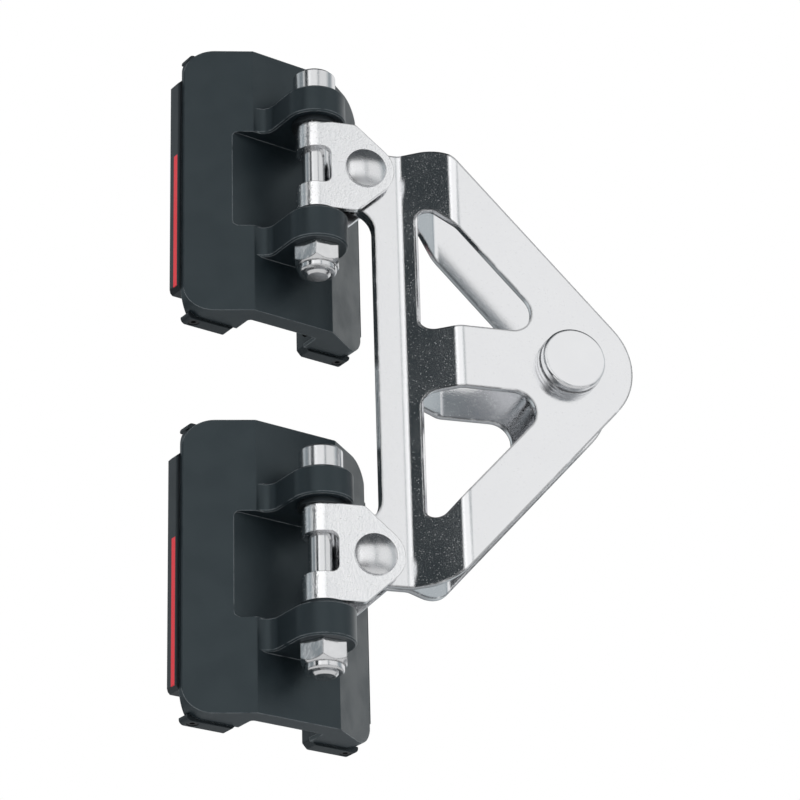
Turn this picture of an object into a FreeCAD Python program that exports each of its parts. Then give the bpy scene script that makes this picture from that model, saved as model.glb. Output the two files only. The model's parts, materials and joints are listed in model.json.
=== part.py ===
# Headboard car for a mainsail: two ball-bearing track cars, each with a stainless toggle,
# carry a pressed stainless bracket whose pin takes the headboard.
# X runs aft along the bracket, Y along the headboard pin, Z up the mast. The origin is the
# middle of the headboard pin. Each car is drawn with its screw at the origin (u aft from the
# screw, v across the track) and is then turned and lifted to its place.
import math
import os

import FreeCAD
import Part

V = FreeCAD.Vector
os.makedirs("parts", exist_ok=True)

# Whole
car_spacing = 126.2          # between the middles of the two cars
car_swing = 71.1             # how far each car is turned about its screw
screw_to_rivet = 14.2
rivet_to_pin = 59.4

# Car body
body_height = 90.2
body_width = 64.0
aft_face = 12.9              # the aft face stands this far ahead of the screw
aft_face_width = 28.0
bevel_depth = 11.1
side_flat = 1.6
flank_drop = 6.4
leg_depth = 17.7             # from the aft face to the tip of the leg
web = 6.0
track_width = 24.2           # width of the channel for the mast track
corner_radius = 8.0
scoop_depth = 3.4
scoop_corner = 1.8

# Lugs
lug_thickness = 9.0
lower_lug_thickness = 10.3
lug_nose = 9.4
lug_flare = 4.0
lug_edge = 0.5

# Ball runs
ball_dia = 6.35
ball_pitch = 6.7
ball_back = 11.9             # centre of the balls, behind the aft face
ball_sink = 1.0              # centre of the balls inside the wall of the channel
race_clearance = 0.08
return_offset = 7.5          # centre of the return bore outside the centre of the balls
retainer_thickness = 1.0
retainer_width = 9.4
retainer_seat = 0.6
retainer_end = 2.5           # plain length at each end of a retainer

# End caps
cap_height = 9.7
cap_stand = 0.8              # how far a cap stands past the end of the body
cap_back = 13.2              # front face of a cap, behind the aft face
cap_inner_gap = 0.4          # inner end of a cap, outside the wall of the channel
cap_width = 16.5
lip_thickness = 2.0          # of the part that stands out beyond the flank of the leg
cap_corner = 1.6
cap_slant = 1.6
pocket_bridge = 1.3          # metal left between the pocket of a cap and the end of the body
pocket_wall = 0.5            # plastic round the ball turn
cap_screw_dia = 2.0
cap_screw_head = 3.6
cap_screw_head_height = 1.3
cap_screw_length = 8.0
cap_screw_socket = 1.5
cap_screw_socket_depth = 0.8
cap_screw_sunk = 0.2         # head below the top of the cap
cap_screw_back = 2.2         # behind the front face of a cap
cap_screw_wall = 0.55        # metal between the screw and the pocket

# Side strips
strip_end = 8.7              # from the ends of the body
strip_drop = 1.2             # how far the strips sit below the middle
strip_stand = 1.3
strip_depth = 4.3
strip_chamfer = 1.4

# Toggle
toggle_sheet = 1.8
toggle_height = 29.6
toggle_ear = 8.9
toggle_straight = 11.3       # the ears keep their full height this far aft of the screw
toggle_shoulder = 2.0
window_height = 12.4
window_reach = 3.4
window_corner = 2.4
toggle_clearance = 0.08      # round the screw

# Screw, nut, washers
screw_dia = 8.0
screw_head_dia = 13.0
screw_head_height = 8.0
screw_head_edge = 0.8
socket_across = 6.0
socket_depth = 4.0
screw_hole_clearance = 0.2
screw_end_stand = 1.2
nut_across = 13.0
nut_turn = 24.2
nut_hex_height = 6.3
nut_collar_dia = 11.6
nut_collar_height = 1.9
insert_wall = 1.0
insert_height = 1.5
thrust_washer_dia = 14.0
thrust_washer_thickness = 1.44
thrust_gap = 0.06

# Rivet and its spacers
rivet_dia = 6.0
rivet_head_dia = 12.6
rivet_dome = 2.7
rivet_rim = 0.6
rivet_clearance = 0.06
spacer_dia = 14.0
spacer_gap = 0.08

# Bracket
plate_thickness = 2.0
plate_spread = 24.7          # over the outer faces of the two plates at the headboard
joggle_start = 11.4          # aft of the rivets
joggle_run = 14.2
bend_radius = 2.6            # inside
plate_edge_aft = 3.4         # fore edge of the bracket, aft of the rivets
ear_radius = 7.7
ear_foot = 12.1              # inner edge of the ears, from the rivets towards the middle
ear_fillet = 7.0
nose_radius = 20.0
shoulder_radius = 14.0
diagonal_angle = 48.0
arm_width = 15.6
middle_bar = 19.7
window_edge = 15.4           # fore edge of the windows, aft of the rivets
window_middle_corner = 4.8
window_aft_corner = 6.5
window_outer_corner = 3.1

# Headboard pin
pin_dia = 12.0
pin_collar_dia = 20.0
pin_collar_height = 1.7
pin_neck_dia = 18.0
pin_neck_height = 0.7
pin_head_dia = 19.4
pin_head_height = 2.9
pin_head_edge = 0.8
pin_washer_dia = 20.0
pin_washer_thickness = 1.6
ring_thickness = 1.2
ring_dia = 17.0
groove_depth = 0.8
pin_tail = 2.2
pin_clearance = 0.05

# Derived places
screw_x = -(screw_to_rivet + rivet_to_pin)
rivet_x = -rivet_to_pin
half_car = car_spacing / 2
half_height = body_height / 2
half_width = body_width / 2
half_track = track_width / 2
back_u = -(aft_face + bevel_depth)
flank_u = back_u - side_flat
leg_out = half_width - flank_drop
leg_tip = -(aft_face + leg_depth)
scoop_u = -(aft_face + scoop_depth)
scoop_height = toggle_height + 2 * (thrust_gap + thrust_washer_thickness)
lug_in = scoop_height / 2
lug_out = lug_in + lug_thickness
lug_foot = lug_in + lower_lug_thickness
ball_u = -(aft_face + ball_back)
ball_v = half_track + ball_sink
return_v = ball_v + return_offset
race = ball_dia / 2 + race_clearance
flank_run = leg_depth - bevel_depth - side_flat
toggle_in = screw_dia / 2 + toggle_clearance
toggle_out = toggle_in + toggle_sheet
cap_front_u = -(aft_face + cap_back)
cap_top = half_height + cap_stand
cap_seat = cap_top - cap_height
lip_seat = cap_top - lip_thickness
cap_inner = half_track + cap_inner_gap
cap_outer = cap_inner + cap_width
pocket_u = ball_u + race + pocket_wall
pocket_v = return_v + race + pocket_wall
cap_screw_u = cap_front_u - cap_screw_back
cap_screw_v = pocket_v + cap_screw_wall + cap_screw_dia / 2
strip_length = body_height - 2 * strip_end
ball_count = int((2 * (cap_seat - retainer_end) - ball_dia) // ball_pitch) + 1
rise = plate_spread / 2 - plate_thickness
wide_in = plate_spread / 2 - plate_thickness


def rounded(points):
    """A closed wire through points (a, b, radius), each corner turned with its own radius."""
    count = len(points)
    ends = []
    for i in range(count):
        p = V(points[i][0], points[i][1], 0)
        a = V(points[i - 1][0], points[i - 1][1], 0) - p
        b = V(points[(i + 1) % count][0], points[(i + 1) % count][1], 0) - p
        r = points[i][2] if len(points[i]) > 2 else 0
        if r <= 0:
            ends.append((p, None, p))
            continue
        a.normalize()
        b.normalize()
        half = a.getAngle(b) / 2
        reach = r / math.tan(half)
        middle = a + b
        middle.normalize()
        centre = p + middle * (r / math.sin(half))
        ends.append((p + a * reach, centre - middle * r, p + b * reach))
    edges = []
    for i in range(count):
        first, mid, last = ends[i]
        if mid is not None:
            edges.append(Part.Arc(first, mid, last).toShape())
        start = ends[(i + 1) % count][0]
        if last.distanceToPoint(start) > 1e-6:
            edges.append(Part.LineSegment(last, start).toShape())
    return Part.Wire(edges)


def prism(points, low, high):
    """The outline, drawn in the first two axes, from low to high along Z."""
    face = Part.Face(rounded(points))
    face.translate(V(0, 0, low))
    return face.extrude(V(0, 0, high - low))


def upright(points, low, high):
    """The outline, drawn as (x, z), from low to high along Y."""
    solid = prism(points, -high, -low)
    solid.rotate(V(0, 0, 0), V(1, 0, 0), 90)
    return solid


def rod(radius, low, high, a=0, b=0):
    return Part.makeCylinder(radius, high - low, V(a, b, low))


def rod_x(radius, low, high, y=0, z=0):
    return Part.makeCylinder(radius, high - low, V(low, y, z), V(1, 0, 0))


def rod_y(radius, low, high, x=0, z=0):
    return Part.makeCylinder(radius, high - low, V(x, low, z), V(0, 1, 0))


def block(a0, a1, b0, b1, c0, c1):
    return Part.makeBox(a1 - a0, b1 - b0, c1 - c0, V(a0, b0, c0))


def mirrored(shape):
    return shape.mirror(V(0, 0, 0), V(0, 1, 0))


def one(shape):
    """The single solid that an operation left."""
    return shape.removeSplitter().Solids[0]


# The car body
def car_section():
    side = [
        (-aft_face, aft_face_width / 2, 0.8),
        (back_u, half_width, 0.8),
        (flank_u, half_width, 0.3),
        (leg_tip, leg_out, 1.0),
        (leg_tip, half_track, 0.8),
        (-(aft_face + web), half_track, 1.2),
    ]
    other = [(u, -v, r) for u, v, r in reversed(side)]
    return side + other


def lug(low, high):
    root = lug_nose + lug_flare
    flank = -aft_face + lug_flare
    curve = lug_flare * (1 - math.sqrt(0.5))
    inside = -(aft_face + scoop_depth + 1.0)
    edges = [
        Part.LineSegment(V(inside, -root, 0), V(-aft_face, -root, 0)),
        Part.Arc(V(-aft_face, -root, 0), V(-aft_face + curve, -lug_nose - curve, 0),
                 V(flank, -lug_nose, 0)),
        Part.LineSegment(V(flank, -lug_nose, 0), V(0, -lug_nose, 0)),
        Part.Arc(V(0, -lug_nose, 0), V(lug_nose, 0, 0), V(0, lug_nose, 0)),
        Part.LineSegment(V(0, lug_nose, 0), V(flank, lug_nose, 0)),
        Part.Arc(V(flank, lug_nose, 0), V(-aft_face + curve, lug_nose + curve, 0),
                 V(-aft_face, root, 0)),
        Part.LineSegment(V(-aft_face, root, 0), V(inside, root, 0)),
        Part.LineSegment(V(inside, root, 0), V(inside, -root, 0)),
    ]
    face = Part.Face(Part.Wire([edge.toShape() for edge in edges]))
    face.translate(V(0, 0, low))
    solid = face.extrude(V(0, 0, high - low))
    rims = [edge for edge in solid.Edges
            if abs(edge.BoundBox.ZLength) < 1e-6 and edge.BoundBox.XMax > lug_nose - 0.01]
    return solid.makeChamfer(lug_edge, rims)


def car_body():
    body = prism(car_section(), -half_height, half_height)
    frame = [(-half_width, -half_height, corner_radius), (half_width, -half_height, corner_radius),
             (half_width, half_height, corner_radius), (-half_width, half_height, corner_radius)]
    outline = upright(frame, leg_tip - 1, 1)
    outline.rotate(V(0, 0, 0), V(0, 0, 1), -90)
    body = body.common(outline)
    scoop = [(-scoop_height / 2, scoop_corner), (scoop_height / 2, scoop_corner)]
    floor_v = aft_face_width / 2 + (half_width - aft_face_width / 2) * scoop_depth / bevel_depth
    edge = [(v, z, r) for v, (z, r) in
            ((-floor_v, scoop[0]), (floor_v, scoop[0]), (floor_v, scoop[1]), (-floor_v, scoop[1]))]
    cutter = upright(edge, scoop_u, 1)
    cutter.rotate(V(0, 0, 0), V(0, 0, 1), -90)
    body = body.cut(cutter)
    body = body.fuse([lug(lug_in, lug_out), lug(-lug_foot, -lug_in)])
    holes = [rod(screw_dia / 2 + screw_hole_clearance, -lug_foot - 1, lug_out + 1)]
    for s in (-1, 1):
        for v in (ball_v, return_v):
            holes.append(rod(race, -cap_seat - 1, cap_seat + 1, ball_u, s * v))
        seat = block(ball_u - retainer_width / 2, ball_u + retainer_width / 2,
                     half_track - 1, half_track + retainer_seat, -cap_seat, cap_seat)
        holes.append(seat if s > 0 else mirrored(seat))
        for end in (-1, 1):
            holes.append(at_end(cap_room(), s, end))
            holes.append(at_end(rod(cap_screw_dia / 2, cap_top - cap_screw_length, cap_top,
                                    cap_screw_u, cap_screw_v), s, end))
    return one(body.cut(holes))


def at_end(shape, s, end):
    """The shape, drawn for the right leg's top end, taken to another leg or end."""
    if s < 0:
        shape = mirrored(shape)
    return shape if end > 0 else shape.mirror(V(0, 0, 0), V(0, 0, 1))


def cap_room():
    """What is cut from a leg for its cap: the seat of the lip, a step at the tip and a pocket."""
    seat = block(leg_tip - 1, cap_front_u, half_track - 1, half_width + 1, lip_seat, half_height + 1)
    step = block(leg_tip - 1, cap_front_u, half_track - 1, pocket_v, cap_seat, half_height)
    pocket = block(cap_front_u - 1, pocket_u, half_track - 1, pocket_v, cap_seat,
                   half_height - pocket_bridge)
    return seat.fuse([step, pocket])


def end_cap(s, end):
    """The cap that turns the balls round at one end of a leg, with a lip over the flank."""
    shape = [(-cap_inner, cap_seat, 0.4), (-pocket_v, cap_seat, 0.4), (-pocket_v, lip_seat),
             (-cap_outer, lip_seat, 0.3), (-cap_outer, cap_top, cap_corner),
             (-cap_inner - cap_slant, cap_top, 0.8), (-cap_inner, cap_top - cap_slant, 0.8)]
    solid = upright(shape, leg_tip, cap_front_u)
    solid.rotate(V(0, 0, 0), V(0, 0, 1), -90)
    solid = solid.fuse(block(cap_front_u - 1, pocket_u, cap_inner, pocket_v,
                             cap_seat, half_height - pocket_bridge))
    solid = solid.cut(Part.makeTorus(return_offset / 2, race,
                                     V(ball_u, ball_v + return_offset / 2, cap_seat), V(1, 0, 0)))
    solid = solid.cut([
        rod(cap_screw_dia / 2, cap_seat - 1, cap_top + 1, cap_screw_u, cap_screw_v),
        rod(cap_screw_head / 2, cap_top - cap_screw_sunk - cap_screw_head_height, cap_top + 1,
            cap_screw_u, cap_screw_v)])
    return at_end(one(solid), s, end)


def cap_screws():
    """The four small screws that hold the caps, let in from their ends."""
    top = cap_top - cap_screw_sunk
    head = rod(cap_screw_head / 2, top - cap_screw_head_height, top, cap_screw_u, cap_screw_v)
    shank = rod(cap_screw_dia / 2, cap_top - cap_screw_length, top - cap_screw_socket_depth,
                cap_screw_u, cap_screw_v)
    socket = prism(hexagon(cap_screw_socket), top - cap_screw_socket_depth, top + 1)
    socket.translate(V(cap_screw_u, cap_screw_v, 0))
    screw = one(head.fuse(shank).cut(socket))
    return Part.makeCompound([at_end(screw, s, end) for s in (-1, 1) for end in (-1, 1)])


def hexagon(across, turn=0):
    r = across / math.sqrt(3)
    return [(r * math.cos(math.radians(60 * i + turn)), r * math.sin(math.radians(60 * i + turn)))
            for i in range(6)]


def side_strip(s):
    """The long strip let on to the flank of a leg, with sloped ends."""
    out = half_width + strip_stand
    section = [(flank_u, half_width), (flank_u, out), (flank_u - strip_depth, out),
               (flank_u - flank_run, out - (flank_run - strip_depth)),
               (flank_u - flank_run, leg_out)]
    solid = prism(section, -strip_length / 2, strip_length / 2)
    half = strip_length / 2
    low = leg_out - 1
    ends = [(low, -half - 1), (low, -half), (out - strip_chamfer, -half), (out, -half + strip_chamfer),
            (out, half - strip_chamfer), (out - strip_chamfer, half), (low, half), (low, half + 1),
            (out + 2, half + 1), (out + 2, -half - 1)]
    trim = upright(ends, flank_u - flank_run - 1, flank_u + 1)
    trim.rotate(V(0, 0, 0), V(0, 0, 1), -90)
    solid = one(solid.cut(mirrored(trim)))
    solid.translate(V(0, 0, -strip_drop))
    return mirrored(solid) if s < 0 else solid


def balls(s):
    first = -(ball_count - 1) / 2 * ball_pitch
    return Part.makeCompound([
        Part.makeSphere(ball_dia / 2, V(ball_u, s * ball_v, first + i * ball_pitch))
        for i in range(ball_count)])


def retainer(s):
    """The slotted strip that keeps the balls in the leg when the car is off its track."""
    outer = half_track + retainer_seat
    inner = outer - retainer_thickness
    half = retainer_width / 2
    top = cap_seat
    solid = block(ball_u - half, ball_u + half, inner, outer, -top, top)
    r = ball_dia / 2

    def reach(v):
        return math.sqrt(r * r - (ball_v - v) ** 2) + 0.12

    slot = [(ball_u - reach(inner), inner - 0.5), (ball_u - reach(inner), inner),
            (ball_u - reach(outer), outer), (ball_u - reach(outer), outer + 0.5),
            (ball_u + reach(outer), outer + 0.5), (ball_u + reach(outer), outer),
            (ball_u + reach(inner), inner), (ball_u + reach(inner), inner - 0.5)]
    run = (ball_count - 1) / 2 * ball_pitch + ball_dia / 2 + 0.4
    solid = one(solid.cut(prism(slot, -run, run)))
    return mirrored(solid) if s < 0 else solid


# The toggle, in bracket axes with the screw at the origin
def toggle():
    half = toggle_height / 2
    ear_x = screw_to_rivet
    # The sloped edges touch the round of the ears and would meet here.
    reach = ear_x - toggle_straight
    touch = math.atan2(half, -reach) - math.acos(toggle_ear / math.hypot(reach, half))
    apex = ear_x + toggle_ear / math.cos(touch)
    start = -toggle_out - 1
    points = [(start, -half), (toggle_straight, -half, toggle_shoulder), (apex, 0, toggle_ear),
              (toggle_straight, half, toggle_shoulder), (start, half)]
    outline = upright(points, -toggle_out - 1, toggle_out + 1)
    tip = ear_x + toggle_ear + 1
    strap = rod(toggle_out, -half, half).fuse(block(0, tip, -toggle_out, toggle_out, -half, half))
    strap = strap.cut([rod(toggle_in, -half - 1, half + 1),
                       block(0, tip + 1, -toggle_in, toggle_in, -half - 1, half + 1)])
    solid = strap.common(outline)
    window = [(start, -window_height / 2), (window_reach, -window_height / 2, window_corner),
              (window_reach, window_height / 2, window_corner), (start, window_height / 2)]
    solid = solid.cut(upright(window, -toggle_out - 1, toggle_out + 1))
    return one(solid.cut(rod_y(rivet_dia / 2, -toggle_out - 1, toggle_out + 1, ear_x, 0)))


def rivet():
    """A rivet with a domed head on each ear."""
    shank = rod_y(rivet_dia / 2, -toggle_out, toggle_out, screw_to_rivet)
    r = rivet_head_dia / 2
    h = rivet_dome - rivet_rim
    ball = (r * r + h * h) / (2 * h)
    heads = []
    for s in (-1, 1):
        rim = rod_y(r, toggle_out, toggle_out + rivet_rim + h, screw_to_rivet)
        dome = Part.makeSphere(ball, V(screw_to_rivet, toggle_out + rivet_dome - ball, 0))
        head = rim.common(dome)
        heads.append(head if s > 0 else mirrored(head))
    return one(shank.fuse(heads))


def rivet_spacers():
    """The two plain washers between the ears and the bracket."""
    low = plate_thickness + spacer_gap
    ring = rod_y(spacer_dia / 2, low, toggle_in, screw_to_rivet).cut(
        rod_y(rivet_dia / 2 + rivet_clearance, low - 1, toggle_in + 1, screw_to_rivet))
    return Part.makeCompound([ring.Solids[0], mirrored(ring).Solids[0]])


def toggle_screw():
    top = lug_out + screw_head_height
    end = -(lug_foot + nut_hex_height + nut_collar_height + screw_end_stand)
    head = rod(screw_head_dia / 2, lug_out, top)
    head = head.makeChamfer(screw_head_edge, [edge for edge in head.Edges
                            if edge.BoundBox.ZMin > top - 0.01])
    shank = rod(screw_dia / 2, end, lug_out + 1)
    shank = shank.makeChamfer(0.8, [edge for edge in shank.Edges if edge.BoundBox.ZMax < end + 0.01])
    socket = prism(hexagon(socket_across), top - socket_depth, top + 1)
    return one(head.fuse(shank).cut(socket))


def lock_nut():
    """A hexagon nut with a round collar that holds a nylon ring."""
    top = -lug_foot
    foot = top - nut_hex_height
    end = foot - nut_collar_height
    body = prism(hexagon(nut_across, nut_turn), foot, top)
    cone = Part.makeCone(nut_across / 2 * 0.95, nut_across / 2 * 1.6, nut_hex_height * 0.72,
                         V(0, 0, foot), V(0, 0, 1))
    cone = cone.fuse(rod(nut_across, foot + nut_hex_height * 0.72, top))
    body = body.common(cone)
    collar = rod(nut_collar_dia / 2, end, foot + 0.5)
    collar = collar.makeFillet(0.7, [edge for edge in collar.Edges if edge.BoundBox.ZMax < end + 0.01])
    body = body.fuse(collar).cut(rod(screw_dia / 2, end - 1, top + 1))
    ring = rod(screw_dia / 2 + insert_wall, end + 0.3, end + 0.3 + insert_height)
    return one(body.cut(ring))


def nut_insert():
    end = -(lug_foot + nut_hex_height + nut_collar_height) + 0.3
    ring = rod(screw_dia / 2 + insert_wall, end, end + insert_height)
    return one(ring.cut(rod(screw_dia / 2, end - 1, end + insert_height + 1)))


def thrust_washer(s):
    low = toggle_height / 2 + thrust_gap
    ring = rod(thrust_washer_dia / 2, low, lug_in).cut(
        rod(screw_dia / 2 + screw_hole_clearance, low - 1, lug_in + 1))
    return one(ring if s > 0 else ring.mirror(V(0, 0, 0), V(0, 0, 1)))


# The bracket, in its own axes with the headboard pin at the origin
def bracket_outline():
    """Fore edge, ears round the rivets, shoulders, diagonals and nose, as (x, z, radius)."""
    fore = rivet_x + plate_edge_aft
    top = half_car + ear_radius
    lean = math.radians(diagonal_angle)
    # The diagonal touches the nose circle and meets the top edge here.
    reach = nose_radius / math.sin(lean)
    shoulder = reach - top / math.tan(lean)
    tip = rivet_x - ear_radius
    foot = half_car - ear_foot
    upper = [
        (fore, foot, ear_fillet),
        (tip, foot, ear_radius * 0.98),
        (tip, top, ear_radius * 0.98),
        (shoulder, top, shoulder_radius),
    ]
    lower = [(x, -z, r) for x, z, r in reversed(upper)]
    nose = (reach, 0, nose_radius)
    return upper + [nose] + lower


def window_outline(s):
    lean = math.radians(diagonal_angle)
    reach = nose_radius / math.sin(lean) - arm_width / math.sin(lean)
    fore = rivet_x + window_edge
    foot = middle_bar / 2
    head = (reach - fore) * math.tan(lean)
    side = reach - foot / math.tan(lean)
    return [(fore, s * foot, window_middle_corner), (side, s * foot, window_aft_corner),
            (fore, s * head, window_outer_corner)]


def fore_wedge(lean):
    """Kept behind the fore edge of the windows, which was punched square to the sloped sheet."""
    edge = rivet_x + window_edge
    face = -plate_thickness - (edge - rivet_x - joggle_start) * math.tan(lean)
    reach = 2.5 * plate_thickness
    inner = face + reach * math.cos(lean)
    return prism([(edge, face), (edge + reach * math.sin(lean), inner), (edge, inner)],
                 -half_car, half_car)


def side_plate(s):
    lean = math.atan2(rise, joggle_run)
    shift = plate_thickness * math.tan(lean / 2)
    first = rivet_x + joggle_start
    second = first + joggle_run
    far = nose_radius + 5
    near = rivet_x - ear_radius - 5
    outer, inner = bend_radius + plate_thickness, bend_radius
    sheet = [
        (near, 0), (first + shift, 0, outer), (second + shift, -rise, inner), (far, -rise),
        (far, -rise - plate_thickness), (second, -rise - plate_thickness, outer),
        (first, -plate_thickness, inner), (near, -plate_thickness),
    ]
    high = half_car + ear_radius + 5
    strip = prism(sheet, -high, high)
    wide = plate_spread
    solid = strip.common(upright(bracket_outline(), -wide, wide))
    holes = [rod_y(pin_dia / 2, -wide, wide)]
    for k in (1, -1):
        holes.append(upright(window_outline(k), -wide, wide).cut(fore_wedge(lean)))
    for z in (half_car, -half_car):
        holes.append(rod_y(rivet_dia / 2 + rivet_clearance, -wide, wide, rivet_x, z))
    solid = one(solid.cut(holes))
    return solid if s < 0 else mirrored(solid)


def headboard_pin():
    """A pin with a stepped round head on the near side and a groove at the far end."""
    face = plate_spread / 2
    ring_at = face + pin_washer_thickness
    end = ring_at + ring_thickness + pin_tail
    shank = rod_y(pin_dia / 2, -face, end)
    shank = shank.makeChamfer(0.8, [edge for edge in shank.Edges if edge.BoundBox.YMin > end - 0.01])
    collar = rod_y(pin_collar_dia / 2, -face - pin_collar_height, -face)
    foot = -face - pin_collar_height - pin_neck_height
    neck = rod_y(pin_neck_dia / 2, foot, -face - pin_collar_height)
    top = foot - pin_head_height
    head = rod_y(pin_head_dia / 2, top, foot)
    head = head.makeFillet(pin_head_edge, [edge for edge in head.Edges
                           if edge.BoundBox.YMax < top + 0.01])
    groove = rod_y(pin_dia, ring_at, ring_at + ring_thickness).cut(
        rod_y(pin_dia / 2 - groove_depth, ring_at - 1, ring_at + ring_thickness + 1))
    return one(shank.fuse([collar, neck, head]).cut(groove))


def pin_washer():
    face = plate_spread / 2
    ring = rod_y(pin_washer_dia / 2, face, face + pin_washer_thickness)
    return one(ring.cut(rod_y(pin_dia / 2 + pin_clearance, face - 1, face + 5)))


def retaining_ring():
    """An open ring sprung into the groove of the pin."""
    low = plate_spread / 2 + pin_washer_thickness
    high = low + ring_thickness
    ring = rod_y(ring_dia / 2, low, high).cut(
        rod_y(pin_dia / 2 - groove_depth + pin_clearance, low - 1, high + 1))
    mouth = block(0, ring_dia, low - 1, high + 1, -2.6, 2.6)
    return one(ring.cut(mouth))


# Placing
def save(name, shape, check=1):
    solids = shape.Solids
    if len(solids) != check or not all(item.isValid() for item in solids):
        raise ValueError(name + " has %d solids" % len(solids))
    shape.exportStep("parts/" + name + ".step")
    print("%-24s %8.1f mm3" % (name, sum(item.Volume for item in solids)))


def on_car(shape, height):
    placed = shape.copy()
    placed.rotate(V(0, 0, 0), V(0, 0, 1), -car_swing)
    placed.translate(V(screw_x, 0, height))
    return placed


def on_toggle(shape, height):
    placed = shape.copy()
    placed.translate(V(screw_x, 0, height))
    return placed


car_pieces = {
    "car_body": (car_body(), 1),
    "left_side_strip": (side_strip(-1), 1),
    "right_side_strip": (side_strip(1), 1),
    "top_left_end_cap": (end_cap(-1, 1), 1),
    "top_right_end_cap": (end_cap(1, 1), 1),
    "bottom_left_end_cap": (end_cap(-1, -1), 1),
    "bottom_right_end_cap": (end_cap(1, -1), 1),
    "end_cap_screws": (cap_screws(), 4),
    "left_balls": (balls(-1), ball_count),
    "right_balls": (balls(1), ball_count),
    "left_ball_retainer": (retainer(-1), 1),
    "right_ball_retainer": (retainer(1), 1),
    "toggle_screw": (toggle_screw(), 1),
    "lock_nut": (lock_nut(), 1),
    "nut_insert": (nut_insert(), 1),
    "top_thrust_washer": (thrust_washer(1), 1),
    "bottom_thrust_washer": (thrust_washer(-1), 1),
}
toggle_pieces = {
    "toggle": (toggle(), 1),
    "rivet": (rivet(), 1),
    "rivet_spacers": (rivet_spacers(), 2),
}
for place, height in (("upper", half_car), ("lower", -half_car)):
    for name, (shape, count) in car_pieces.items():
        save(place + "_" + name, on_car(shape, height), count)
    for name, (shape, count) in toggle_pieces.items():
        save(place + "_" + name, on_toggle(shape, height), count)

save("near_side_plate", side_plate(-1))
save("far_side_plate", side_plate(1))
save("headboard_pin", headboard_pin())
save("pin_washer", pin_washer())
save("retaining_ring", retaining_ring())
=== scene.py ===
# %% [markdown]
# # Headboard car
#
# This part carries the head of a mainsail up and down a mast. Two black cars run on the mast
# track, each holds a steel toggle on a screw, and a polished steel bracket hinges on the rivets
# of both toggles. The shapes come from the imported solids, so this lesson is about their
# finishes: hard anodised aluminium, plastic, and steel that is polished, tumbled, turned,
# pressed or blackened.

# %% Open the frame
import json
import math
import bpy
from mathutils import Matrix, Vector

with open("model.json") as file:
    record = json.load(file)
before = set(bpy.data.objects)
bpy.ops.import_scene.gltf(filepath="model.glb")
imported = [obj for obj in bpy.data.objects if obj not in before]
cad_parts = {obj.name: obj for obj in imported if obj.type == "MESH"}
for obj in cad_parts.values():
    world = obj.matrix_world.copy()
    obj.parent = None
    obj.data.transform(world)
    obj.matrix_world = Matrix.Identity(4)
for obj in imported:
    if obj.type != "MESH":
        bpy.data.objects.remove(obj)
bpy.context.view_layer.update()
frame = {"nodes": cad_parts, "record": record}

# %% [markdown]
# ## The camera
#
# A photograph fixes where its camera stood. The outline of both cars and of the bracket was
# measured, and a camera was fitted to those points: it stands a little to the left of the part
# and well below it, and looks up. A camera could also be aimed with a tracking constraint, but
# three plain axes say the same thing with nothing hidden: right, up and back.

# %% The camera's axes
turn = math.radians(16.92)
lift = math.radians(25.29)
roll = math.radians(-1.76)
forward = Vector((math.sin(turn) * math.cos(lift), math.cos(turn) * math.cos(lift), math.sin(lift)))
sideways = Vector((math.cos(turn), -math.sin(turn), 0))
upright = sideways.cross(forward)
right = sideways * math.cos(roll) + upright * math.sin(roll)
up = upright * math.cos(roll) - sideways * math.sin(roll)
print("camera looks along", [round(value, 3) for value in forward])

# %% Place the camera
CAMERA_PLACE = (-0.27548, -0.74426, -0.37831)
camera_data = bpy.data.cameras.new("camera")
camera_data.sensor_width = 36
camera_data.lens = 131.4
camera_data.clip_end = 20
camera = bpy.data.objects.new("camera", camera_data)
bpy.context.collection.objects.link(camera)
axes = Matrix((right, up, -forward)).transposed().to_4x4()
camera.matrix_world = Matrix.Translation(CAMERA_PLACE) @ axes
bpy.context.scene.camera = camera
print("camera is", round(Vector(CAMERA_PLACE).length, 3), "m from the headboard pin")

# %% [markdown]
# ## Small helpers for nodes
#
# Node trees are long when each node is written out. One helper adds a node and fills its
# sockets, and takes either a value or another node's output for each of them. The others are
# the few steps that come back in every tree. That keeps each finish below short enough to read
# as a recipe.

# %% Node helpers
def fill(tree, socket, value):
    """Puts a value into a socket, or a link when the value is another node's output."""
    if isinstance(value, bpy.types.NodeSocket):
        tree.links.new(value, socket)
    else:
        socket.default_value = value


def node(tree, kind, inputs=None, **settings):
    """Adds a node, sets its properties, and fills its sockets."""
    made = tree.nodes.new(kind)
    for name, value in settings.items():
        setattr(made, name, value)
    for name, value in (inputs or {}).items():
        fill(tree, made.inputs[name], value)
    return made


def maths(tree, operation, first, second=0.0):
    return node(tree, "ShaderNodeMath", {0: first, 1: second}, operation=operation).outputs[0]


def ramp(tree, value, low, high, out_low=0.0, out_high=1.0):
    """A straight ramp from low to high, smoothed at both ends."""
    return node(tree, "ShaderNodeMapRange", {"Value": value, "From Min": low, "From Max": high,
                "To Min": out_low, "To Max": out_high},
                interpolation_type="SMOOTHSTEP").outputs["Result"]


# A colour mix has several sockets of one name, so they are taken by number.
MIX_FACTOR, MIX_FIRST, MIX_SECOND, MIX_RESULT = 0, 6, 7, 2


def blend(tree, factor, first, second):
    """A colour between two others."""
    made = node(tree, "ShaderNodeMix", data_type="RGBA")
    fill(tree, made.inputs[MIX_FACTOR], factor)
    fill(tree, made.inputs[MIX_FIRST], first)
    fill(tree, made.inputs[MIX_SECOND], second)
    return made.outputs[MIX_RESULT]


print("node helpers:", *(helper.__name__ for helper in (fill, node, maths, ramp, blend)))

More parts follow.
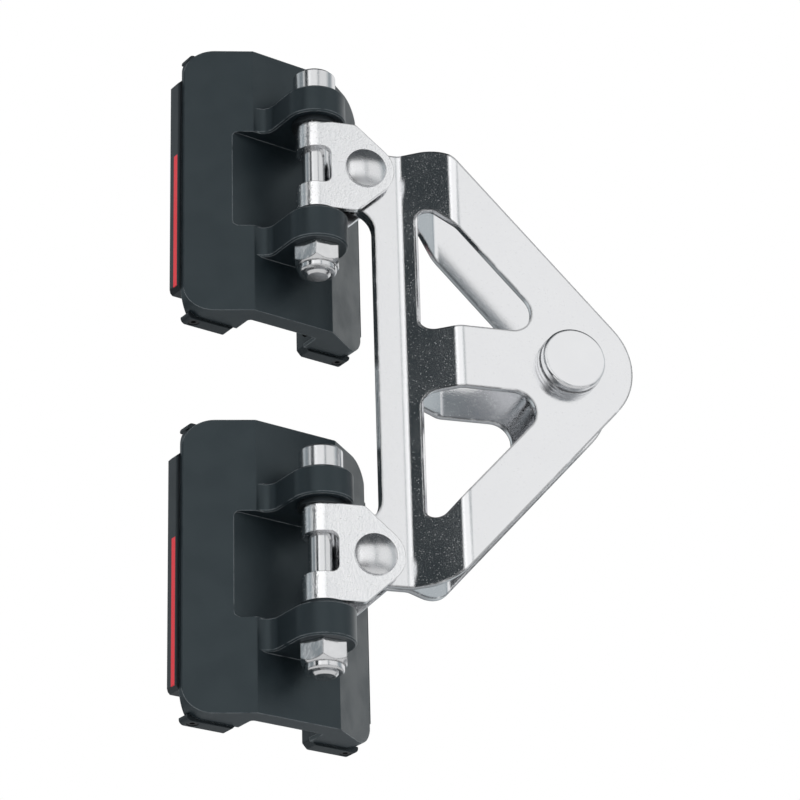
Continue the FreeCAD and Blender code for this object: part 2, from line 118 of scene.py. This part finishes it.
# %% [markdown]
# ## Edges and grain
#
# No machined edge is a knife edge: it is broken by a file or a tumbler, catches the light, and
# loses a little of its colour first. The edges could be cut into the mesh, but the solids are
# kept as they were packed. The group below turns the surface's direction within a fraction of a
# millimetre of an edge instead, as a small radius would. How far it was turned is also the mask
# for a painted edge colour, broken up by noise: a painted highlight on the black parts, with a
# little wear, and a painted dark reflection on the steel.

# %% Group: soft edges
def new_group(name, inputs, outputs):
    """An empty shader group with named sockets. Each input is (name, kind, value)."""
    tree = bpy.data.node_groups.new(name, "ShaderNodeTree")
    for label, kind, value in inputs:
        socket = tree.interface.new_socket(label, in_out="INPUT", socket_type="NodeSocket" + kind)
        socket.default_value = value
    for label, kind in outputs:
        tree.interface.new_socket(label, in_out="OUTPUT", socket_type="NodeSocket" + kind)
    return tree, tree.nodes.new("NodeGroupInput"), tree.nodes.new("NodeGroupOutput")


EDGE_PAINT_PATCHES = 260.0            # to the metre, so the painted edge colour comes and goes every 4 mm
soft_edges, given, put = new_group(
    "soft_edges", [("Radius", "Float", 0.0003), ("Wear", "Float", 0.5)],
    [("Normal", "Vector"), ("Mask", "Float")])
rounding = node(soft_edges, "ShaderNodeBevel", {"Radius": given.outputs["Radius"]}, samples=4)
flat = node(soft_edges, "ShaderNodeNewGeometry")
# The cosine of the turn is 1 on a flat face and less beside an edge.
agree = node(soft_edges, "ShaderNodeVectorMath", {0: rounding.outputs[0], 1: flat.outputs["Normal"]},
             operation="DOT_PRODUCT").outputs["Value"]
turned = ramp(soft_edges, agree, 0.998, 0.94)
where = node(soft_edges, "ShaderNodeTexCoord")
patchy = node(soft_edges, "ShaderNodeTexNoise", {"Vector": where.outputs["Object"],
              "Scale": EDGE_PAINT_PATCHES, "Detail": 3.0})
# Painted edge colour: the mask is uneven along each edge; lighter edges are a painted highlight, darker
# ones a painted dark reflection.
painted_edges = maths(soft_edges, "MULTIPLY", turned, ramp(soft_edges, patchy.outputs["Fac"], 0.30, 0.52))
fill(soft_edges, put.inputs["Normal"], rounding.outputs[0])
fill(soft_edges, put.inputs["Mask"], maths(soft_edges, "MULTIPLY", painted_edges, given.outputs["Wear"]))
print("group", soft_edges.name, "has", len(soft_edges.nodes), "nodes")

# %% [markdown]
# The second group is the fine unevenness that every finish has at its own scale: the etched
# grain of anodising, the dimples left by tumbling, the faint ripple of polished sheet. It gives
# a height for bump, a broad drift that varies gloss and colour, and sparse specks. Its sizes are
# in millimetres, and a texture's scale counts repeats to the metre.

# %% Group: fine surface
MM_IN_METRE = 1000.0
SPECKS_PER_GRAIN = 0.45
fine_surface, given, put = new_group(
    "fine_surface", [("Grain size", "Float", 0.3), ("Drift size", "Float", 12.0)],
    [("Height", "Float"), ("Drift", "Float"), ("Specks", "Float")])
where = node(fine_surface, "ShaderNodeTexCoord")
grain_scale = maths(fine_surface, "DIVIDE", MM_IN_METRE, given.outputs["Grain size"])
drift_scale = maths(fine_surface, "DIVIDE", MM_IN_METRE, given.outputs["Drift size"])
speck_scale = maths(fine_surface, "DIVIDE", SPECKS_PER_GRAIN * MM_IN_METRE, given.outputs["Grain size"])
grain = node(fine_surface, "ShaderNodeTexNoise", {"Vector": where.outputs["Object"], "Detail": 3.0,
             "Roughness": 0.6, "Scale": grain_scale})
drift = node(fine_surface, "ShaderNodeTexNoise", {"Vector": where.outputs["Object"], "Detail": 2.0,
             "Scale": drift_scale})
speck = node(fine_surface, "ShaderNodeTexVoronoi", {"Vector": where.outputs["Object"],
             "Randomness": 1.0, "Scale": speck_scale})
fill(fine_surface, put.inputs["Height"], grain.outputs["Fac"])
fill(fine_surface, put.inputs["Drift"], drift.outputs["Fac"])
fill(fine_surface, put.inputs["Specks"], ramp(fine_surface, speck.outputs["Distance"], 0.22, 0.06))
print("group", fine_surface.name, "has", len(fine_surface.nodes), "nodes")

# %% [markdown]
# ## One recipe for all finishes
#
# Every finish here is both groups in front of one shader: the colour and the gloss drift between
# two values, specks are rougher than what is round them, and edges are soft and may show another
# colour. Each material could be wired by hand, but then a change to the recipe would have to be
# made fourteen times.

# %% The recipe
MM = 0.001
GRAIN_HEIGHT = 0.1 * MM
RIPPLE_HEIGHT = 1.0 * MM


def placed(tree, group, **inputs):
    """A group as a node in a tree, with its sockets filled."""
    made = tree.nodes.new("ShaderNodeGroup")
    made.node_tree = group
    for name, value in inputs.items():
        fill(tree, made.inputs[name.replace("_", " ")], value)
    return made


def finish(name, dark, light, metal, rough, specks, grain, drift, bump, edge, edge_colour=None,
           edge_paint=0.0, stripe=None, ripple=0.0, **sockets):
    """A material from both groups. Grain, drift and edge are sizes in millimetres."""
    material = bpy.data.materials.new(name)
    material.use_nodes = True
    tree = material.node_tree
    shader = tree.nodes["Principled BSDF"]
    shader.inputs["Metallic"].default_value = metal
    for label, value in sockets.items():
        shader.inputs[label.replace("_", " ")].default_value = value
    surface = placed(tree, fine_surface, Grain_size=grain, Drift_size=drift)
    edges = placed(tree, soft_edges, Radius=edge * MM, Wear=edge_paint)
    colour = blend(tree, surface.outputs["Drift"], (*dark, 1), (*light, 1))
    if stripe:
        colour = stripe(tree, colour)
    # The edge colour is painted light: a lighter one is a painted edge highlight, a darker one a
    # painted dark edge reflection.
    if edge_colour:
        colour = blend(tree, edges.outputs["Mask"], colour, (*edge_colour, 1))
    fill(tree, shader.inputs["Base Color"], colour)
    gloss = ramp(tree, surface.outputs["Drift"], 0.3, 0.7, *rough)
    gloss = maths(tree, "ADD", gloss, maths(tree, "MULTIPLY", surface.outputs["Specks"], specks))
    fill(tree, shader.inputs["Roughness"], gloss)
    relief = node(tree, "ShaderNodeBump", {"Height": surface.outputs["Height"], "Strength": bump,
                  "Distance": GRAIN_HEIGHT, "Normal": edges.outputs["Normal"]})
    if ripple:
        # Broad and shallow unevenness, which bends what the metal mirrors.
        relief = node(tree, "ShaderNodeBump", {"Height": surface.outputs["Drift"], "Strength": ripple,
                      "Distance": RIPPLE_HEIGHT, "Normal": relief.outputs[0]})
    fill(tree, shader.inputs["Normal"], relief.outputs[0])
    print("finish", name, "rough", rough, "grain", grain, "mm")
    return material


# %% [markdown]
# ## Hard anodised aluminium
#
# The cars are lengths of machined section, hard anodised nearly black. The oxide is a clear
# ceramic skin on a dyed base: not a metal to the eye, but a very dark body under an even satin
# gloss. What lightness it shows comes from the white studio in that gloss, so the bevel that is
# seen at a shallow angle looks much lighter than the one that is seen square on. Only the pale
# edge colour is painted: a painted edge highlight, with a little wear.

# %% Anodised body
# The pale edge colour is a painted edge highlight, with a little wear.
anodised = finish("anodised_aluminium", dark=(0.0062, 0.0107, 0.0136), light=(0.0088, 0.0138, 0.018),
                  metal=0.0, rough=(0.33, 0.43), specks=0.08, grain=0.16, drift=9.0, bump=0.26,
                  edge=0.4, edge_colour=(0.22, 0.24, 0.255), edge_paint=0.9,
                  IOR=1.56, Specular_Tint=(0.78, 0.94, 1.0, 1.0))

# %% [markdown]
# ## Side strips with a red stripe
#
# A black strip is fixed along each flank. Its outer face has a plain red stripe on the lower
# part. The stripe could be a sticker with its own mesh, but paint has no thickness, so it is a
# mask in the colour. The mask is worked out in the car's own axes, aft and across, from the
# middle of the car's screw, which is the axis of its hinge in the frame.

# %% The stripe as a mask
CAR_SWING = math.radians(71.1)  # how far the photograph shows the cars turned about their screws
STRIPE_AHEAD = 26.8 * MM        # middle of the stripe, ahead of the screw
STRIPE_HALF = 1.0 * MM          # half of its width
STRIPE_TOP = 8.65 * MM          # above the middle of the car
OUTER_FACE = 33.15 * MM         # just inside the strip's outer face, from the middle of the car
RED = (0.76, 0.012, 0.024, 1)
COOL = (0.72, 0.90, 1.0, 1.0)


def red_stripe(screw):
    """Gives the function that paints the stripe of the car that hangs on this screw."""
    def paint(tree, colour):
        where = node(tree, "ShaderNodeTexCoord").outputs["Object"]
        moved = node(tree, "ShaderNodeMapping", {"Vector": where, "Location": -screw})
        turned = node(tree, "ShaderNodeVectorRotate", {"Vector": moved.outputs[0], "Angle": CAR_SWING},
                      rotation_type="Z_AXIS")
        parts = node(tree, "ShaderNodeSeparateXYZ", {0: turned.outputs[0]})
        off_line = maths(tree, "ABSOLUTE", maths(tree, "ADD", parts.outputs[0], STRIPE_AHEAD))
        on_line = ramp(tree, off_line, STRIPE_HALF + 0.08 * MM, STRIPE_HALF - 0.08 * MM)
        under_top = ramp(tree, parts.outputs[2], STRIPE_TOP + 0.15 * MM, STRIPE_TOP - 0.15 * MM)
        across = maths(tree, "ABSOLUTE", parts.outputs[1])
        on_face = ramp(tree, across, OUTER_FACE - 0.05 * MM, OUTER_FACE + 0.05 * MM)
        mask = maths(tree, "MULTIPLY", maths(tree, "MULTIPLY", on_line, under_top), on_face)
        return blend(tree, mask, colour, RED)
    return paint


print("stripe is", round(2 * STRIPE_HALF / MM, 2), "mm wide,", round(STRIPE_AHEAD / MM, 2), "mm ahead")

# %% Side strips
hinges = {joint["name"]: Vector(joint["pos_m"]) for joint in frame["record"]["behaviour"]["joints"]}
strips = {}
for place in ("upper", "lower"):
    screw = hinges[place + "_screw_hinge"]
    # The lighter edge colour is a painted edge highlight, with a little wear.
    strips[place] = finish(place + "_strip", dark=(0.006, 0.007, 0.008), light=(0.009, 0.010, 0.011),
                           metal=0.0, rough=(0.28, 0.36), specks=0.05, grain=0.2, drift=10.0,
                           bump=0.12, edge=0.3, edge_colour=(0.08, 0.085, 0.09), edge_paint=0.3,
                           stripe=red_stripe(screw), Specular_Tint=COOL)
    print(place, "stripe is measured from", [round(value, 4) for value in screw])

# %% [markdown]
# ## Plastics
#
# The end caps, retainers, washers and spacers are moulded in black plastic with a fine
# spark-eroded texture. It shows a little cooler than the studio, like the rest of the black
# parts, so its gloss is tinted. The balls are amber brown, and the ring in the lock nut is pale
# nylon that lets a little light in.

# %% Black plastics
# The lighter edge colour of the caps is a painted edge highlight, with a little wear.
cap_plastic = finish("cap_plastic", dark=(0.005, 0.0065, 0.0075), light=(0.008, 0.0095, 0.0105),
                     metal=0.0, rough=(0.38, 0.5), specks=0.1, grain=0.22, drift=7.0, bump=0.35,
                     edge=0.3, edge_colour=(0.05, 0.055, 0.06), edge_paint=0.3,
                     IOR=1.5, Specular_Tint=COOL)
washer_plastic = finish("washer_plastic", dark=(0.003, 0.0035, 0.004), light=(0.005, 0.0055, 0.006),
                        metal=0.0, rough=(0.36, 0.46), specks=0.05, grain=0.3, drift=6.0, bump=0.15,
                        edge=0.2, Specular_Tint=COOL)

# %% Balls and nylon
ball_plastic = finish("ball_plastic", dark=(0.20, 0.11, 0.032), light=(0.27, 0.155, 0.05),
                      metal=0.0, rough=(0.22, 0.32), specks=0.05, grain=0.4, drift=5.0, bump=0.08,
                      edge=0.2)
nylon = finish("nylon", dark=(0.66, 0.67, 0.69), light=(0.76, 0.77, 0.78), metal=0.0,
               rough=(0.38, 0.5), specks=0.0, grain=0.3, drift=3.0, bump=0.1, edge=0.2,
               Subsurface_Weight=0.15, Subsurface_Scale=0.001)

# %% [markdown]
# ## Polished steel
#
# All the bright parts are stainless steel, and only what was done to the surface last tells them
# apart. The bracket was buffed to a mirror, with the faint ripple of sheet. Its rounded edges
# mirror the dark parts of the room as thin lines, and a dark edge colour draws them. The pin was
# polished finer still. Both could be one material, but then the pin would ripple like the sheet.

# %% Bracket and pin
polished = finish("polished_sheet", dark=(0.765, 0.77, 0.785), light=(0.81, 0.815, 0.825),
                  metal=1.0, rough=(0.08, 0.12), specks=0.25, grain=0.36, drift=11.0, bump=0.2,
                  edge=0.9, edge_colour=(0.045, 0.048, 0.05), edge_paint=1.0, ripple=0.03)
# The pin's dark edge colour is a painted dark edge reflection.
pin_steel = finish("pin_steel", dark=(0.765, 0.77, 0.785), light=(0.81, 0.815, 0.825),
                   metal=1.0, rough=(0.035, 0.06), specks=0.1, grain=0.3, drift=9.0, bump=0.03,
                   edge=0.6, edge_colour=(0.10, 0.105, 0.11), edge_paint=0.8)

# %% [markdown]
# ## Tumbled toggles
#
# The toggles were tumbled with stones: small dimples all over, which spread each highlight into
# grains. The dimples could be a displaced mesh, but they are finer than any mesh of this size,
# so they are a strong bump with a coarse grain.

# %% Toggles
# The darker edge colour is a painted dark edge reflection.
tumbled = finish("tumbled_steel", dark=(0.86, 0.865, 0.875), light=(0.94, 0.94, 0.95),
                 metal=1.0, rough=(0.13, 0.22), specks=0.35, grain=0.55, drift=6.0, bump=0.7,
                 edge=0.4, edge_colour=(0.30, 0.31, 0.32), edge_paint=0.7)

# %% [markdown]
# ## Fasteners
#
# Screws, washer and ring were turned, which leaves them bright but a little dull. The lock nuts
# were cold formed and are shinier and wavier. The rivets were pressed and have the softest
# shine. The small screws of the end caps are black oxide steel, so they stay unseen on the
# black plastic.

# %% Turned, formed and pressed
# FASTENER_EDGE and the nut's dark edge colour are painted dark edge reflections.
FASTENER_EDGE = (0.2, 0.21, 0.22)
turned_steel = finish("turned_steel", dark=(0.62, 0.625, 0.635), light=(0.70, 0.705, 0.715),
                      metal=1.0, rough=(0.12, 0.2), specks=0.15, grain=0.3, drift=5.0, bump=0.16,
                      edge=0.3, edge_colour=FASTENER_EDGE, edge_paint=0.6)
nut_steel = finish("nut_steel", dark=(0.60, 0.605, 0.615), light=(0.74, 0.745, 0.755),
                   metal=1.0, rough=(0.07, 0.13), specks=0.2, grain=0.3, drift=3.4, bump=0.12,
                   edge=0.5, edge_colour=(0.12, 0.125, 0.13), edge_paint=0.7, ripple=0.09)
pressed_steel = finish("pressed_steel", dark=(0.68, 0.685, 0.695), light=(0.77, 0.775, 0.785),
                       metal=1.0, rough=(0.22, 0.31), specks=0.15, grain=0.35, drift=4.0, bump=0.2,
                       edge=0.4, edge_colour=FASTENER_EDGE, edge_paint=0.6)

# %% Black oxide
black_oxide = finish("black_oxide", dark=(0.02, 0.02, 0.022), light=(0.035, 0.035, 0.037),
                     metal=0.6, rough=(0.3, 0.42), specks=0.1, grain=0.25, drift=4.0, bump=0.15,
                     edge=0.2)

# %% [markdown]
# ## Give each node its finish
#
# The names of the nodes say what each piece is, so one short table places every finish: the
# first pair whose words are in the name holds. The solids keep their meshes, and only their
# material changes.

# %% Place the finishes
FINISHES = [
    ("upper_left_side_strip", strips["upper"]), ("upper_right_side_strip", strips["upper"]),
    ("lower_left_side_strip", strips["lower"]), ("lower_right_side_strip", strips["lower"]),
    ("car_body", anodised), ("end_cap_screws", black_oxide), ("end_cap", cap_plastic),
    ("ball_retainer", cap_plastic), ("balls", ball_plastic), ("thrust_washer", washer_plastic),
    ("rivet_spacers", washer_plastic), ("nut_insert", nylon), ("toggle_screw", turned_steel),
    ("lock_nut", nut_steel), ("rivet", pressed_steel), ("toggle", tumbled), ("side_plate", polished),
    ("headboard_pin", pin_steel), ("pin_washer", turned_steel), ("retaining_ring", turned_steel)]
for name, piece in frame["nodes"].items():
    material = next(made for words, made in FINISHES if words in name)
    piece.data.materials.clear()
    piece.data.materials.append(material)
print("finished", len(frame["nodes"]), "nodes")

# %% [markdown]
# ## Studio
#
# Polished steel has no look of its own: it shows the room. An image of a real studio would do,
# but a few plain panels are easier to place and to read. So the world is a function of
# direction: round the part it is white panels with a dark gap to the left, a softbox beside the
# gap, a thin dim gap in front and a darker back. Overhead it is dark, and low down it is dim,
# darkest on the left. Plain surfaces get even white light, and the camera itself sees white.

# %% World: directions
world = bpy.data.worlds.new("studio")
bpy.context.scene.world = world
world.use_nodes = True
sky = world.node_tree
sky.nodes.clear()
direction = node(sky, "ShaderNodeTexCoord").outputs["Generated"]
to_right, to_back, to_top = node(sky, "ShaderNodeSeparateXYZ", {0: direction}).outputs
# Degrees round from the front, towards the right.
to_front = maths(sky, "MULTIPLY", to_back, -1.0)
round_angle = maths(sky, "DEGREES", maths(sky, "ARCTAN2", to_right, to_front))
print("world", world.name, "measures direction with", len(sky.nodes), "nodes")

# %% World: panels round the part
STUDIO = [
    (-180, 0.10), (-166, 0.10),                          # the dark back
    (-158, 0.6), (-104, 0.6), (-98, 0.34), (-78, 0.34),  # two greys, from the back to the left
    (-74, 0.95), (-69, 0.95),                            # a narrow white strip
    (-65, 0.05), (-49, 0.05),                            # the dark gap
    (-46, 1.4), (-38, 1.4),                              # the softbox beside it
    (-33, 1.12), (4, 1.12),                              # the white front
    (7, 0.3), (10, 0.3),                                 # the thin dim gap
    (13, 1.0), (58, 0.97),                               # white, on the right of the front
    (70, 0.5), (80, 0.42), (94, 0.62),                   # greys on the right
    (104, 1.0), (135, 1.0),                              # white, behind on the right
    (150, 0.6), (172, 0.10), (180, 0.10)]                # and down to the dark back
PEAK = max(level for angle, level in STUDIO)
place_in = maths(sky, "DIVIDE", maths(sky, "ADD", round_angle, 180.0), 360.0)
levels = node(sky, "ShaderNodeValToRGB", {"Fac": place_in})
levels.color_ramp.interpolation = "LINEAR"
stops = levels.color_ramp.elements
for i, (angle, level) in enumerate(STUDIO):
    at = (angle + 180) / 360
    # A new colour ramp has two stops already.
    stop = stops[i] if i < 2 else stops.new(at)
    stop.position = at
    # The grey gaps of the studio are a little cooler than its white panels.
    warmth = min(level, 1.0)
    tone = level / PEAK
    stop.color = (tone * (0.74 + 0.26 * warmth), tone * (0.91 + 0.09 * warmth), tone, 1)
print("studio has", len(stops), "stops and a peak of", PEAK)

# %% World: above and below
LOW_LEVEL = (0.24, 0.25, 0.26, 1)
LOW_LEFT_LEVEL = (0.02, 0.022, 0.024, 1)
HIGH_LEVEL = (0.05, 0.055, 0.06, 1)
below = ramp(sky, to_top, -0.05, -0.45)
above = ramp(sky, to_top, 0.56, 0.78)
on_left = ramp(sky, to_right, -0.15, -0.4)
low_level = blend(sky, on_left, LOW_LEVEL, LOW_LEFT_LEVEL)
room = blend(sky, below, levels.outputs["Color"], low_level)
room = blend(sky, above, room, HIGH_LEVEL)
print("levels below", LOW_LEVEL[:3], "on the left", LOW_LEFT_LEVEL[:3], "above", HIGH_LEVEL[:3])

# %% World: what each ray meets
WHITE = (1, 1, 1, 1)
path = node(sky, "ShaderNodeLightPath")
seen = node(sky, "ShaderNodeBackground", {"Color": WHITE, "Strength": 1.0})
even = node(sky, "ShaderNodeBackground", {"Color": WHITE, "Strength": 0.8})
gloss = node(sky, "ShaderNodeBackground", {"Color": room, "Strength": PEAK})
lit = node(sky, "ShaderNodeMixShader", {0: path.outputs["Is Glossy Ray"], 1: even.outputs[0],
           2: gloss.outputs[0]})
both = node(sky, "ShaderNodeMixShader", {0: path.outputs["Is Camera Ray"], 1: lit.outputs[0],
            2: seen.outputs[0]})
node(sky, "ShaderNodeOutputWorld", {"Surface": both.outputs[0]})
bpy.context.scene.view_settings.view_transform = "Standard"
print("world has", len(sky.nodes), "nodes")

# %% [markdown]
# ## Lamps
#
# A large soft lamp above and in front gives the form a little direction, and a weaker one fills
# from the right. Both are wide and far, so their shadows have no hard edge. They could be seen
# in the steel too, but the world already says what the steel shows.

# %% Lamps
def soft_lamp(name, place, size, power):
    """A round lamp that points at the origin."""
    data = bpy.data.lights.new(name, "AREA")
    data.shape = "DISK"
    data.size = size
    data.energy = power
    lamp = bpy.data.objects.new(name, data)
    lamp.location = place
    lamp.rotation_euler = (-Vector(place)).to_track_quat("-Z", "Y").to_euler()
    # The shine comes from the world alone: a lamp seen in steel would be a spot on each edge.
    lamp.visible_glossy = False
    bpy.context.collection.objects.link(lamp)
    print("lamp", name, power, "W at", place)


soft_lamp("key", (-0.7, -1.1, 1.3), 0.9, 4.0)
soft_lamp("fill", (1.4, -0.6, 0.5), 0.9, 2.0)

# %% [markdown]
# ## Floor
#
# The photograph has no ground line, only white all round. A sheet of pale paper below the part
# throws soft light up into its underside. Most of what the camera sees of the paper is plain
# white, so that its edge hardly shows against the white world.

# %% Floor sheet
FLOOR_HALF = 1.1
FLOOR_Z = -0.75
corners = [(x * FLOOR_HALF, y * FLOOR_HALF, FLOOR_Z) for x, y in ((-1, -1), (1, -1), (1, 1), (-1, 1))]
floor_mesh = bpy.data.meshes.new("floor")
floor_mesh.from_pydata(corners, [], [(0, 1, 2, 3)])
floor = bpy.data.objects.new("floor", floor_mesh)
bpy.context.collection.objects.link(floor)
print("floor is", 2 * FLOOR_HALF, "m wide at", FLOOR_Z)

# %% Paper
SEEN_WHITE = 0.8
pale = bpy.data.materials.new("pale_floor")
pale.use_nodes = True
tree = pale.node_tree
paper = tree.nodes["Principled BSDF"]
paper.inputs["Roughness"].default_value = 0.8
fibre = node(tree, "ShaderNodeTexNoise", {"Scale": 30.0, "Detail": 2.0})
fill(tree, paper.inputs["Base Color"],
     blend(tree, fibre.outputs["Fac"], (0.88, 0.88, 0.88, 1), (0.9, 0.9, 0.9, 1)))
seen_floor = node(tree, "ShaderNodeLightPath").outputs["Is Camera Ray"]
white = node(tree, "ShaderNodeEmission", {"Color": WHITE, "Strength": 1.0})
mixed = node(tree, "ShaderNodeMixShader", {0: maths(tree, "MULTIPLY", seen_floor, SEEN_WHITE),
             1: paper.outputs[0], 2: white.outputs[0]})
fill(tree, tree.nodes["Material Output"].inputs["Surface"], mixed.outputs[0])
floor_mesh.materials.append(pale)
print("paper", pale.name, "has", len(tree.nodes), "nodes")
